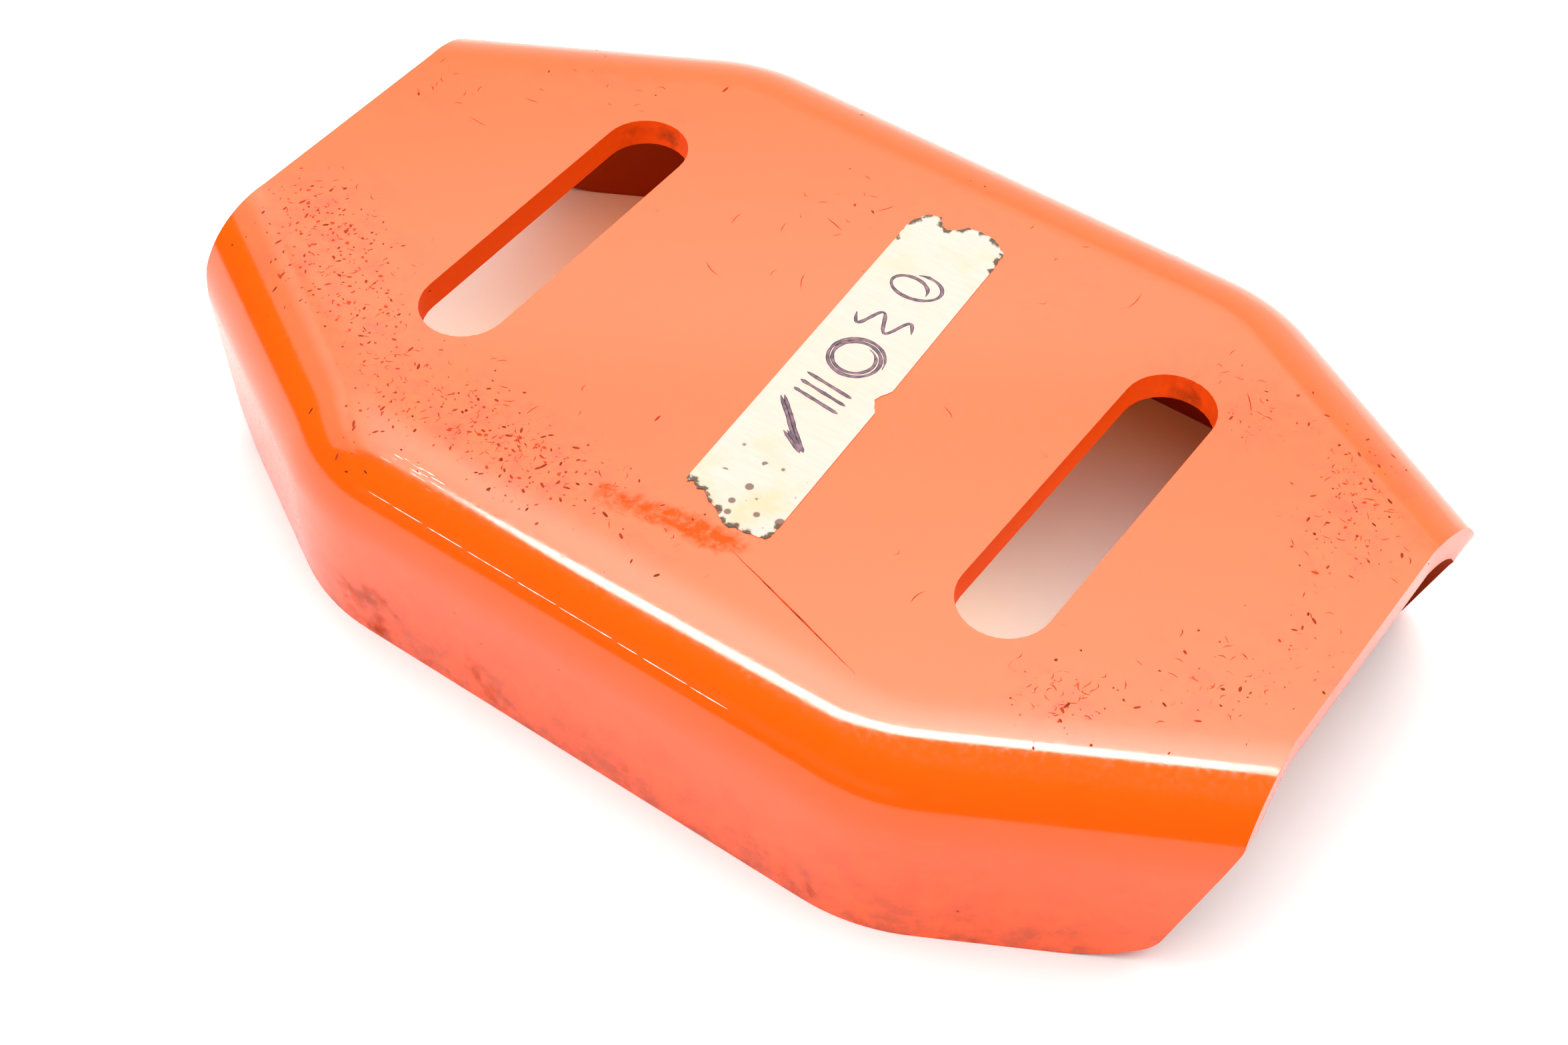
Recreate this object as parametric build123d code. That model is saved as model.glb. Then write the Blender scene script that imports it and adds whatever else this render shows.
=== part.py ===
from build123d import *
from math import cos, radians, tan
import os

# Reversible skid shoe for a walk-behind snow thrower, with a strip of masking tape stuck on its web.
# The shoe is one steel pressing: a flat web with two bolt slots, bent down along both long sides into
# flanges. Each flange runs straight along the middle and turns in towards both ends as a ramp, so the
# shoe rides over bumps whichever way round it is bolted. Both short ends are open.
#
# Frame: origin at the middle of the footprint, on the plane of the flanges' lower edges.
# +X runs along the shoe, +Y across it and +Z up to the web's outer face. Millimetres.

# Steel pressing
WEB_LENGTH = 144.4          # end to end, along the middle of the web
SHOE_WIDTH = 92.2           # over the straight middles of the two flanges
SHOE_HEIGHT = 28.0          # flange edge to the web's outer face
STEEL_THICKNESS = 3.8       # 9 gauge sheet
INSIDE_BEND_RADIUS = 7.0    # web to flange
STRAIGHT_LENGTH = 77.6      # a flange's middle facet, between its sharp corners
RAMP_ANGLE = 28.6           # how far each end facet turns in, degrees
PLAN_CORNER_RADIUS = 26.4   # outside, where a ramp meets the straight middle

# Ends, which the press leaves slightly flared and slanted
END_FLARE_ANGLE = 5.5       # the bend's end reaches past the web's end, degrees
END_SLANT_ANGLE = 17.3      # the flange's end leans back towards its lower edge, degrees
END_SLANT_REACH = 3.1       # how far past the web's end the slant line meets the web's plane
TOE_LENGTH = 8.7            # the lower edge sweeps up over this length before each end
TOE_RADIUS = 16.2           # radius of that sweep
TOE_CORNER_RADIUS = 4.3     # rounding between the sweep and the slanted end

# Bolt slots
SLOT_SPACING = 76.2         # centre to centre
SLOT_WIDTH = 11.1
SLOT_LENGTH = 45.4          # end to end, across the shoe
SLOT_EDGE_ROLL = 0.3        # radius that the punch leaves round each slot on the outer face

# Masking tape label
TAPE_WIDTH = 13.0
TAPE_LENGTH = 56.2          # between the furthest points of its torn ends
TAPE_THICKNESS = 0.15
TAPE_OFFSET_X = 4.6         # middle of the strip from the shoe's middle
TAPE_OFFSET_Y = 1.1
TAPE_TURN = 4.1             # askew from square across the shoe, degrees

TRIM_MARGIN = 1.0           # how far a cutting shape runs past what it cuts

OUTSIDE_BEND_RADIUS = INSIDE_BEND_RADIUS + STEEL_THICKNESS
RAMP = radians(RAMP_ANGLE)


def ramp_half_width(x, inset=0.0):
    """Half the shoe's width over its ramps at x, for a wall moved in by inset."""
    return SHOE_WIDTH / 2 - (x - STRAIGHT_LENGTH / 2) * tan(RAMP) - inset / cos(RAMP)


def pressing_block(inset, top, bend_radius, overrun):
    """A solid with the pressing's outline moved in by inset, and its long top edges rounded."""
    x_end = WEB_LENGTH / 2 + overrun
    x_corner = STRAIGHT_LENGTH / 2 - inset * tan(RAMP / 2)
    y_end = ramp_half_width(x_end, inset)
    y_side = SHOE_WIDTH / 2 - inset
    plan = make_face(Polyline(
        (-x_end, -y_end), (-x_corner, -y_side), (x_corner, -y_side), (x_end, -y_end),
        (x_end, y_end), (x_corner, y_side), (-x_corner, y_side), (-x_end, y_end),
        close=True,
    ))
    corners = plan.vertices().filter_by(lambda v: abs(v.X) < x_end - 1)
    plan = fillet(corners, PLAN_CORNER_RADIUS - inset)
    block = extrude(plan, top)
    long_rims = block.edges().filter_by(lambda e: e.center().Z > top - 0.01 and abs(e.center().X) < x_end - 1)
    return fillet(long_rims, bend_radius)


def plan_trim():
    """Everything between the end cuts as seen from above: square across the web, flared past it."""
    x_web = WEB_LENGTH / 2
    y_web = ramp_half_width(x_web, OUTSIDE_BEND_RADIUS)
    y_out = SHOE_WIDTH / 2 + TRIM_MARGIN
    x_out = x_web + (y_out - y_web) * tan(radians(END_FLARE_ANGLE))
    outline = make_face(Polyline(
        (x_out, -y_out), (x_web, -y_web), (x_web, y_web), (x_out, y_out),
        (-x_out, y_out), (-x_web, y_web), (-x_web, -y_web), (-x_out, -y_out),
        close=True,
    ))
    return Pos(0, 0, -TRIM_MARGIN) * extrude(outline, SHOE_HEIGHT + 2 * TRIM_MARGIN)


def side_trim():
    """Everything between the end cuts as seen from the side: slanted ends on a swept-up lower edge."""
    x_top = WEB_LENGTH / 2 + END_SLANT_REACH
    x_foot = x_top - SHOE_HEIGHT * tan(radians(END_SLANT_ANGLE))
    x_toe = x_foot - TOE_LENGTH
    profile = make_face(Polyline(
        (-x_foot, 0), (x_foot, 0), (x_top, SHOE_HEIGHT), (-x_top, SHOE_HEIGHT),
        close=True,
    ))
    for side in (-1, 1):
        corner_block = Pos(side * (x_toe + TOE_RADIUS / 2), TOE_RADIUS / 2) * Rectangle(TOE_RADIUS, TOE_RADIUS)
        sweep_round = Pos(side * x_toe, TOE_RADIUS) * Circle(TOE_RADIUS)
        profile -= corner_block - sweep_round
    toe_corners = profile.vertices().filter_by(lambda v: abs(v.X) > x_toe + 1 and v.Y < SHOE_HEIGHT - 1)
    profile = fillet(toe_corners, TOE_CORNER_RADIUS)
    return extrude(Rot(90, 0, 0) * profile, SHOE_WIDTH, both=True)


def bolt_slots():
    """The two bolt slots, as solids standing through the web."""
    slot = SlotOverall(SLOT_LENGTH, SLOT_WIDTH, rotation=90)
    depth = 2 * STEEL_THICKNESS
    cutters = Sketch() + [Pos(side * SLOT_SPACING / 2, 0) * slot for side in (-1, 1)]
    return Pos(0, 0, SHOE_HEIGHT - depth) * extrude(cutters, 2 * depth)


def skid_shoe():
    overrun = END_SLANT_REACH + TRIM_MARGIN
    outer = pressing_block(0, SHOE_HEIGHT, OUTSIDE_BEND_RADIUS, overrun)
    inner_top = SHOE_HEIGHT - STEEL_THICKNESS
    inner = pressing_block(STEEL_THICKNESS, inner_top, INSIDE_BEND_RADIUS, overrun + TRIM_MARGIN)
    shoe = outer - inner
    shoe = shoe & plan_trim()
    shoe = shoe & side_trim()
    shoe -= bolt_slots()
    on_web = shoe.faces().filter_by(Axis.Z).sort_by(Axis.Z)[-1]
    slot_rims = [edge for wire in on_web.inner_wires() for edge in wire.edges()]
    return fillet(slot_rims, SLOT_EDGE_ROLL)


def tape_label():
    """The strip of tape, its two ends torn off unevenly."""
    side = TAPE_WIDTH / 2
    far = TAPE_LENGTH / 2
    outline = Polyline(
        (side, far - 3.4), (side - 1.7, far - 0.7), (2.3, far), (0.2, far), (-1.7, far - 1.9),
        (-3.4, far), (-5.1, far - 0.6), (-side, far - 3.2),
        (-side, 3.6 - far), (-3.8, 3.2 - far), (-1.0, 1.6 - far), (1.6, -far),
        (side - 0.6, 0.7 - far), (side, 1.5 - far),
        close=True,
    )
    strip = extrude(make_face(outline), TAPE_THICKNESS)
    return Pos(TAPE_OFFSET_X, TAPE_OFFSET_Y, SHOE_HEIGHT) * Rot(0, 0, TAPE_TURN) * strip


os.makedirs("parts", exist_ok=True)
for name, solid in (("skid_shoe", skid_shoe()), ("tape_label", tape_label())):
    solid.label = name
    export_step(solid, f"parts/{name}.step")
    box = solid.bounding_box()
    print(f"{name}: {box.size.X:.2f} x {box.size.Y:.2f} x {box.size.Z:.2f} mm, {solid.volume:.1f} mm3")
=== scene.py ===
# %% [markdown]
# # A snow thrower's skid shoe
# The shoe is a steel pressing that bolts to the side of a snow thrower and slides on the ground. Its flat
# web has two bolt slots, and both long sides bend down into flanges that turn in at the ends, so that it
# rides over bumps. It is sprayed with gloss orange enamel, and an old strip of masking tape is stuck on it.
# The CAD model gives the true sizes and stays hidden here. Each visible piece is made again with finer
# edges and marks, in the same frame: X along the shoe, Y across it, Z up, in metres.

import math
import random

import bmesh
import bpy
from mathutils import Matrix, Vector, noise
from mathutils.geometry import delaunay_2d_cdt


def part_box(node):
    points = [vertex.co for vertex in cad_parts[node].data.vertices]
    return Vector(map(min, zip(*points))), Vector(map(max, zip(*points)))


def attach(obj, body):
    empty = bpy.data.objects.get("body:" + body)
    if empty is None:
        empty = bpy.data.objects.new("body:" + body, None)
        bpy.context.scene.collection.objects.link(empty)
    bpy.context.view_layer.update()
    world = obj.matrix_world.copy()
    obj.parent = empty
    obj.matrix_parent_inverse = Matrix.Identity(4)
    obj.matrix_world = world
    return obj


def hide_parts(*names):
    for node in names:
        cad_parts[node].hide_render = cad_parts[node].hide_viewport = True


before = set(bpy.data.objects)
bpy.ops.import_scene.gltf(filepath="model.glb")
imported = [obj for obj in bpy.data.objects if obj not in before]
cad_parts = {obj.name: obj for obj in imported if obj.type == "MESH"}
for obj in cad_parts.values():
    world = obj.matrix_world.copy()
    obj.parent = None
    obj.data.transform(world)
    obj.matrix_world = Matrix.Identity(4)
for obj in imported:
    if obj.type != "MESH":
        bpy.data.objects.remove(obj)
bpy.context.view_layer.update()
shoe_low, shoe_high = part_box("skid_shoe")

# %% [markdown]
# ## A few small helpers
# Colours are easiest to read as the hex codes that a paint chart or a colour picker gives, but shader
# sockets want linear light, so one function converts them. Node trees are wordy to build, so one function
# adds a node, sets its own properties and fills or links its inputs. A third turns a pattern's real size
# into a texture's scale.

# %% Helpers for colours and nodes
MM = 0.001


def srgb(hex_code):
    """A colour such as '#ff6010' as linear red, green, blue and alpha."""
    channels = [int(hex_code[i:i + 2], 16) / 255 for i in (1, 3, 5)]
    return [c / 12.92 if c <= 0.04045 else ((c + 0.055) / 1.055) ** 2.4 for c in channels] + [1.0]


def set_inputs(tree, node, values):
    """Sets or links a node's inputs, by name or place."""
    for socket, value in values.items():
        if isinstance(value, bpy.types.NodeSocket):
            tree.links.new(value, node.inputs[socket])
        else:
            node.inputs[socket].default_value = value


def add_node(tree, kind, inputs=None, **settings):
    """Adds one node. Each input is a value or another node's output."""
    node = tree.nodes.new(kind)
    for name, value in settings.items():
        setattr(node, name, value)
    set_inputs(tree, node, inputs or {})
    return node


def per(millimetres):
    """The texture scale whose pattern repeats about every so many millimetres."""
    return 1 / (millimetres * MM)


print("orange in linear light", [round(c, 3) for c in srgb("#ff6010")[:3]])

# %% [markdown]
# ## The sizes of the pressing
# Everything about the shoe follows from a few lengths, as on a press tool's drawing: the steel's thickness,
# the bend's radius, how far the ramps turn in, and how the ends are trimmed. The outline's width and height
# are read from the frame, and the rest repeat the CAD model's driving sizes, in millimetres.

# %% Sizes of the pressing
STEEL = 3.8
BEND_OUTSIDE = 10.8
HALF_WIDTH = shoe_high.y / MM
TOP = shoe_high.z / MM
HALF_STRAIGHT = 38.8
RAMP = math.radians(28.6)
PLAN_CORNER = 26.4
WEB_END = 72.2
FLARE = math.radians(5.5)
SLANT = math.radians(17.3)
SLANT_REACH = 3.1
TOE_LENGTH = 8.7
TOE_RADIUS = 16.2
TOE_CORNER = 4.3
SLOT_X = 38.1
SLOT_HALF_WIDTH = 5.55
SLOT_HALF_LENGTH = 22.7
BEND_FOOT = TOP - BEND_OUTSIDE
ARC_X = HALF_STRAIGHT - PLAN_CORNER * math.tan(RAMP / 2)
ARC_Y = HALF_WIDTH - PLAN_CORNER
print(f"half width {HALF_WIDTH:.2f} mm, top {TOP:.2f} mm, plan corners start at x {ARC_X:.2f} mm")

# %% [markdown]
# ## The wall's path and its trimmed ends
# Seen from above, a flange runs straight, turns round a corner and runs in along a ramp. A bend or an
# inner face follows the same path further in, so one function gives the path for any inset. A second one
# says where each height of the ramp ends: the die trims the web square, the bend with a slight flare and
# the flange on a slant. The lower edge sweeps up to that slant like the tip of a ski. All of this could be
# cut with booleans, but walking the path gives even rows of four-sided faces, and gloss paint shows every
# uneven face in its reflections.

# %% Path, ends and lower edge
FOOT_X = WEB_END + SLANT_REACH - TOP * math.tan(SLANT)
TOE_X = FOOT_X - TOE_LENGTH


def ramp_y(x, inset):
    """Half the width over the ramps at x, for a wall moved in by inset."""
    return HALF_WIDTH - (x - HALF_STRAIGHT) * math.tan(RAMP) - inset / math.cos(RAMP)


def end_x(inset, z):
    """Where a ramp ends at a height: on the flared trim line or on the slanted one."""
    flare = math.tan(FLARE)
    start = HALF_WIDTH + HALF_STRAIGHT * math.tan(RAMP) - inset / math.cos(RAMP)
    flared = WEB_END + (start - ramp_y(WEB_END, BEND_OUTSIDE)) * flare
    return min(flared / (1 + math.tan(RAMP) * flare), FOOT_X + z * math.tan(SLANT))


def arc_points(centre, radius, start, stop, steps):
    """Points in X and Z along an arc, its first one left out."""
    angles = [start + (stop - start) * (i + 1) / steps for i in range(steps)]
    return [(centre[0] + radius * math.cos(a), centre[1] + radius * math.sin(a)) for a in angles]


def toe_curve():
    """The lower edge from where it leaves the ground to where it meets the slanted end."""
    along_end = Vector((math.sin(SLANT), math.cos(SLANT)))
    into_steel = Vector((-math.cos(SLANT), math.sin(SLANT)))
    sweep_centre = Vector((TOE_X, TOE_RADIUS))
    apart = Vector((FOOT_X, 0)) + TOE_CORNER * into_steel - sweep_centre
    half = apart.dot(along_end)
    reach = math.sqrt(half ** 2 - apart.length_squared + (TOE_RADIUS - TOE_CORNER) ** 2)
    corner_centre = sweep_centre + apart - (half + reach) * along_end
    to_corner = corner_centre - sweep_centre
    meet = math.atan2(to_corner.y, to_corner.x)
    sweep = arc_points(sweep_centre, TOE_RADIUS, -math.pi / 2, meet, 14)
    return [(TOE_X, 0)] + sweep + arc_points(corner_centre, TOE_CORNER, meet, -SLANT, 12)


def along(points, share):
    """The point at a share of a line's whole length."""
    spans = [math.dist(a, b) for a, b in zip(points, points[1:])]
    left = share * sum(spans)
    for (a, b), span in zip(zip(points, points[1:]), spans):
        if left <= span:
            return [p + (q - p) * left / span for p, q in zip(a, b)]
        left -= span
    return points[-1]


TOE = toe_curve()
print(f"the lower edge leaves the ground at x {TOE_X:.2f} mm and reaches z {TOE[-1][1]:.2f} mm")

# %% [markdown]
# ## Rows and columns of the side wall
# The wall is a grid. Its columns step along the path, and its rows go down from the edge of the flat web,
# round the bend and down the flange. The same grid is made for the outer skin and, one steel thickness
# further in, for the inner skin, so the two match point for point and can be stitched together at the rims.

# %% Grid of the side wall
STRAIGHT_STEPS = 16
ARC_STEPS = 10
RAMP_STEPS = 26
BEND_ROWS = 16
FLANGE_ROWS = 8
columns = [("straight", ARC_X * i / STRAIGHT_STEPS) for i in range(STRAIGHT_STEPS)]
columns += [("arc", RAMP * i / ARC_STEPS) for i in range(ARC_STEPS)]
columns += [("ramp", 1 - (1 - i / RAMP_STEPS) ** 1.3) for i in range(RAMP_STEPS + 1)]


def path_point(column, inset, z):
    """X and Y of the wall at a column of the right half, on the +Y side."""
    kind, value = column
    radius = PLAN_CORNER - inset
    if kind == "straight":
        return value, HALF_WIDTH - inset
    if kind == "arc":
        return ARC_X + radius * math.sin(value), ARC_Y + radius * math.cos(value)
    start = ARC_X + radius * math.sin(RAMP)
    x = start + (end_x(inset, z) - start) * value
    return x, ramp_y(x, inset)


def wall_point(column, row, inset):
    """A point of the wall in millimetres; inset is 0 for the outer skin and STEEL for the inner one."""
    radius = BEND_OUTSIDE - inset
    turn = math.pi / 2 * min(row, BEND_ROWS) / BEND_ROWS
    depth = inset + radius * (1 - math.sin(turn))
    z = BEND_FOOT + radius * math.cos(turn)
    x, y = path_point(column, depth, z)
    down = max(0, row - BEND_ROWS) / FLANGE_ROWS
    if column[0] != "ramp":
        return x, y, z * (1 - down)
    foot_start = ARC_X + (PLAN_CORNER - inset) * math.sin(RAMP)
    foot_x, foot_z = along([(foot_start, 0)] + TOE, column[1])
    x = x + (foot_x - x) * down
    return x, ramp_y(x, depth), z + (foot_z - z) * down


print(len(columns), "columns a half,", BEND_ROWS + FLANGE_ROWS + 1, "rows")

# %% [markdown]
# ## The flat web and its slots
# The web is a flat sheet between the two walls. It carries the rust, so it needs points all over it to hold
# the amount of each mark, and clean rings round the slots for their rolled rims. A constrained Delaunay
# triangulation fills the outline with even triangles and keeps every edge it is given. The triangles inside
# a slot are dropped, and a ring of four-sided faces joins the fill to the slot's wall.

# %% Outlines of the slots and the fill of the web
SLOT_STEPS = 16
SLOT_SIDE_STEPS = 14
SLOT_COLLAR = 1.3
WEB_GRID = 2.0
GRID_COLUMNS = math.ceil(WEB_END / WEB_GRID) - 1
GRID_ROWS = math.ceil((HALF_WIDTH - BEND_OUTSIDE) / WEB_GRID)


def slot_loop(side, grow):
    """The slot's outline, moved out by grow, counter-clockwise."""
    radius = SLOT_HALF_WIDTH + grow
    straight = SLOT_HALF_LENGTH - SLOT_HALF_WIDTH
    points = []
    for end in (1, -1):
        for i in range(SLOT_STEPS + 1):
            angle = math.pi * i / SLOT_STEPS + (0 if end > 0 else math.pi)
            x, y = radius * math.cos(angle), end * straight + radius * math.sin(angle)
            points.append((side * SLOT_X + x, y))
        for i in range(1, SLOT_SIDE_STEPS):
            y = end * straight * (1 - 2 * i / SLOT_SIDE_STEPS)
            points.append((side * SLOT_X - end * radius, y))
    return points


def in_slot(x, y, grow):
    """Whether a point lies in either slot's outline, moved out by grow."""
    straight = SLOT_HALF_LENGTH - SLOT_HALF_WIDTH
    beyond = max(0, abs(y) - straight)
    return math.hypot(abs(x) - SLOT_X, beyond) < SLOT_HALF_WIDTH + grow


def fill_web(outline, rings):
    """Triangles between the web's outline and the rings round its slots, with an even grid of points."""
    points = [Vector(p) for p in outline]
    edges = [(i, (i + 1) % len(outline)) for i in range(len(outline))]
    for ring in rings:
        first = len(points)
        points += [Vector(p) for p in ring]
        edges += [(first + i, first + (i + 1) % len(ring)) for i in range(len(ring))]
    fixed = len(points)
    for i in range(-GRID_COLUMNS, GRID_COLUMNS + 1):
        for j in range(-GRID_ROWS, GRID_ROWS + 1):
            x = WEB_GRID * (i + 0.5 * (j % 2))
            y = WEB_GRID * j
            edge = path_edge(abs(x))
            if abs(x) < WEB_END - 1 and abs(y) < edge - 1 and not in_slot(x, y, SLOT_COLLAR + 0.9):
                points.append(Vector((x, y)))
    made = delaunay_2d_cdt(points, edges, [], 1, 1e-5)
    faces = []
    for face in made[2]:
        middle = sum((made[0][i] for i in face), Vector((0, 0))) / len(face)
        if not in_slot(middle.x, middle.y, SLOT_COLLAR - 0.01):
            faces.append([made[3][i][0] for i in face])
    return points[fixed:], faces


def path_edge(x):
    """Half the flat web's width at x."""
    radius = PLAN_CORNER - BEND_OUTSIDE
    if x < ARC_X:
        return HALF_WIDTH - BEND_OUTSIDE
    if x < ARC_X + radius * math.sin(RAMP):
        return ARC_Y + math.sqrt(radius ** 2 - (x - ARC_X) ** 2)
    return ramp_y(x, BEND_OUTSIDE)


print("points round one slot", len(slot_loop(1, 0)))

# %% [markdown]
# ## Where years of use left their marks, and painted shade
# Rust starts in clusters where grit chipped the paint, grime settles along the lower edges, and old glue
# smears out from under the tape. The far walls of the slots are darkened with the grime as painted shade.
# Painting these by hand in Texture Paint would need an image. Instead each mark is a soft dab with a place,
# a radius and a strength, and the amount at every vertex is stored as an attribute. The materials and the
# scattered specks both read it.

# %% Dabs of rust, grime and old glue
# Each dab: x, y and z in millimetres, its radius, and its strength from 0 to 1.
RUST_DABS = [
    (-66, -14, 28, 7, 0.55), (-58, -20, 28, 9, 1.0), (-46, -25, 28, 7, 0.8), (-37, -31, 28, 6, 0.7),
    (-34, -38, 27, 6, 0.5), (-25, -31, 28, 7, 1.0), (-16, -33, 28, 6, 1.0), (-8, -31, 28, 6, 0.6),
    (2, -33, 28, 6, 0.5), (47, 23, 28, 7, 0.6), (61, 22, 28, 6, 0.8), (64, 12, 28, 7, 0.8),
    (68, -5, 28, 7, 0.5), (62, -16, 28, 7, 0.6), (50, -26, 28, 6, 0.8), (-68, 10, 28, 6, 0.3),
    (-50, 24, 28, 8, 0.3), (-10, 24, 28, 8, 0.25), (20, 28, 28, 9, 0.25), (0, 36, 27, 8, 0.3),
    (-60, 30, 24, 8, 0.4),
]
# The first three dabs lie in the slots' far walls and are painted shade there; the others are grime.
GRIME_AND_SHADE_DABS = [
    (-38, 23, 26, 3.0, 1.0), (-43, 20, 26, 2.5, 0.8), (38, 23, 25, 5, 0.9), (31, -46, 2, 8, 0.55),
    (10, -46, 2, 9, 0.5), (-12, -46, 2, 8, 0.5), (-30, -45, 3, 8, 0.6), (50, -40, 3, 7, 0.45),
    (24, -46, 8, 4, 0.4), (-48, -41, 5, 8, 0.45), (26, 40, 24, 6, 0.8), (72, -6, 27, 4, 0.6),
    (-36, -44, 8, 11, 0.35), (-18, -46, 8, 12, 0.3), (4, -46, 6, 12, 0.3), (40, -44, 6, 12, 0.3),
    (66, 12, 6, 8, 0.5), (-66, 12, 6, 8, 0.5), (0, 46, 3, 12, 0.5), (-40, 44, 3, 10, 0.5),
]
# The glue was dragged out in one smear along the tape's near end, thinner where it started.
GLUE_DABS = [(-7 + 2.5 * i, -31 + 0.4 * i, 28, 2, 0.7 + 0.1 * min(i, 3)) for i in range(8)]


def amount(dabs, x, y, z):
    """How much of a mark there is at a point in millimetres, from 0 to 1."""
    total = 0.0
    for dab_x, dab_y, dab_z, radius, strength in dabs:
        away = math.dist((x, y, z), (dab_x, dab_y, dab_z)) / radius
        total += strength * math.exp(-away * away)
    return min(1.0, total)


print("rust at the left corner", round(amount(RUST_DABS, -58, -20, 28), 2))

# %% [markdown]
# ## Stitching the pressing
# The outer and inner skins are joined along the trimmed ends, the lower edges and the slots, which closes
# the steel into one solid. A Bevel modifier, given weights on those rims only, rolls them as thick paint
# does over a punched edge. The closed volume and the count of open edges are printed.

# %% Build the steel
def wall_keys(side, row):
    """The keys of one row of the wall from its left end to its right end."""
    last = len(columns) - 1
    return [(side, row, c) for c in range(-last, last + 1)]


def outline_keys(rows):
    """Keys round the sheet at each given row of the walls: front, right end, back, left end."""
    bottom = rows[-1]
    last = len(columns) - 1
    front = wall_keys(-1, bottom)
    back = wall_keys(1, bottom)[::-1]
    right = [(-1, r, last) for r in rows[-2::-1]] + [("end", 1, i) for i in range(1, END_STEPS)]
    right += [(1, r, last) for r in rows[:-1]]
    left = [(1, r, -last) for r in rows[-2::-1]] + [("end", -1, i) for i in range(1, END_STEPS)]
    left += [(-1, r, -last) for r in rows[:-1]]
    return front + right + back + left


END_STEPS = 16
WEB_SHADE = 0.55      # how much painted shade darkens the inner skin under the web
SHADE_DEPTH = 12      # millimetres below the web where it shows fully
GROUND_GRIME = 0.7    # at least this much on the edges that touch the ground
ALL_ROWS = list(range(BEND_ROWS + FLANGE_ROWS + 1))
bm = bmesh.new()
rust = bm.verts.layers.float.new("rust")
grime_and_shade = bm.verts.layers.float.new("grime_and_shade")
glue = bm.verts.layers.float.new("glue")
inner_shade = bm.verts.layers.float.new("inner_shade")
rolled = bm.edges.layers.float.new("bevel_weight_edge")
points = {}


def place(key, x, y, z):
    """Adds one vertex under its key and stores its marks and its painted shade."""
    vert = bm.verts.new((x * MM, y * MM, z * MM))
    vert[rust] = amount(RUST_DABS, x, y, z)
    vert[grime_and_shade] = amount(GRIME_AND_SHADE_DABS, x, y, z)
    vert[glue] = amount(GLUE_DABS, x, y, z)
    vert[inner_shade] = 0.0
    # Painted shade: on the inner skin, away from the slots, the paint is darkened under the web, more the
    # further below it.
    if key[0] == "inner" and not in_slot(x, y, 0.2):
        below_web = min(1.0, max(0.0, (TOP - STEEL - z) / SHADE_DEPTH))
        vert[inner_shade] = WEB_SHADE + (1 - WEB_SHADE) * below_web
    if z < 0.5:
        vert[grime_and_shade] = max(vert[grime_and_shade], GROUND_GRIME)
    points[key] = vert


def face(*keys):
    return bm.faces.new([points[k] for k in keys])


web_half_end = ramp_y(WEB_END, BEND_OUTSIDE)
for skin, inset in (("outer", 0.0), ("inner", STEEL)):
    for side in (-1, 1):
        for row in ALL_ROWS:
            for c in range(1 - len(columns), len(columns)):
                x, y, z = wall_point(columns[abs(c)], row, inset)
                place((skin, side, row, c), math.copysign(x, c), side * y, z)
    for end in (-1, 1):
        for i in range(1, END_STEPS):
            y = end * web_half_end * (2 * i / END_STEPS - 1)
            place((skin, "end", end, i), end * WEB_END, y, TOP - inset)

web_outline = outline_keys([0])
outline_xy = [(points[("outer", *k)].co.x / MM, points[("outer", *k)].co.y / MM) for k in web_outline]
rings = [slot_loop(side, SLOT_COLLAR) for side in (-1, 1)]
inner_points, web_faces = fill_web(outline_xy, rings)
web_keys = web_outline + [("ring", s, i) for s in (-1, 1) for i in range(len(rings[0]))]
web_keys += [("fill", i) for i in range(len(inner_points))]
for skin, inset in (("outer", 0.0), ("inner", STEEL)):
    for side, ring in zip((-1, 1), rings):
        for i, (x, y) in enumerate(ring):
            place((skin, "ring", side, i), x, y, TOP - inset)
        for i, (x, y) in enumerate(slot_loop(side, 0)):
            place((skin, "slot", side, i), x, y, TOP - inset)
    for i, p in enumerate(inner_points):
        place((skin, "fill", i), p.x, p.y, TOP - inset)
    for corners in web_faces:
        face(*[(skin, *web_keys[i]) for i in corners])
    for side in (-1, 1):
        n = len(rings[0])
        for i in range(n):
            j = (i + 1) % n
            collar, rim = (skin, "ring", side), (skin, "slot", side)
            face((*collar, i), (*collar, j), (*rim, j), (*rim, i))
        for row in ALL_ROWS[:-1]:
            keys = list(zip(wall_keys(side, row), wall_keys(side, row + 1)))
            for (a, d), (b, c) in zip(keys, keys[1:]):
                face((skin, *a), (skin, *b), (skin, *c), (skin, *d))
print(len(bm.verts), "points in both skins")

# %% Join the skins at their rims
WALL_LEVELS = 3


def stitch(loop, weight):
    """Closes the gap between the skins along a loop of keys, and marks both rims to be rolled."""
    for level in range(1, WALL_LEVELS):
        for key in loop:
            mix = points[("outer", *key)].co.lerp(points[("inner", *key)].co, level / WALL_LEVELS)
            place((level, *key), *(mix / MM))
    names = ["outer"] + list(range(1, WALL_LEVELS)) + ["inner"]
    for a, b in zip(loop, loop[1:] + loop[:1]):
        for upper, lower in zip(names, names[1:]):
            face((upper, *a), (upper, *b), (lower, *b), (lower, *a))
        for skin in ("outer", "inner"):
            edge = bm.edges.get((points[(skin, *a)], points[(skin, *b)]))
            edge[rolled] = weight


stitch(outline_keys(ALL_ROWS), 1.0)
for side in (-1, 1):
    stitch([("slot", side, i) for i in range(len(rings[0]))], 0.9)
bmesh.ops.recalc_face_normals(bm, faces=bm.faces)
volume = bm.calc_volume(signed=True) / MM ** 3
open_edges = sum(not e.is_manifold for e in bm.edges)
print(f"steel {volume:.0f} mm3, {open_edges} open edges, {len(bm.faces)} faces")

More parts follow.
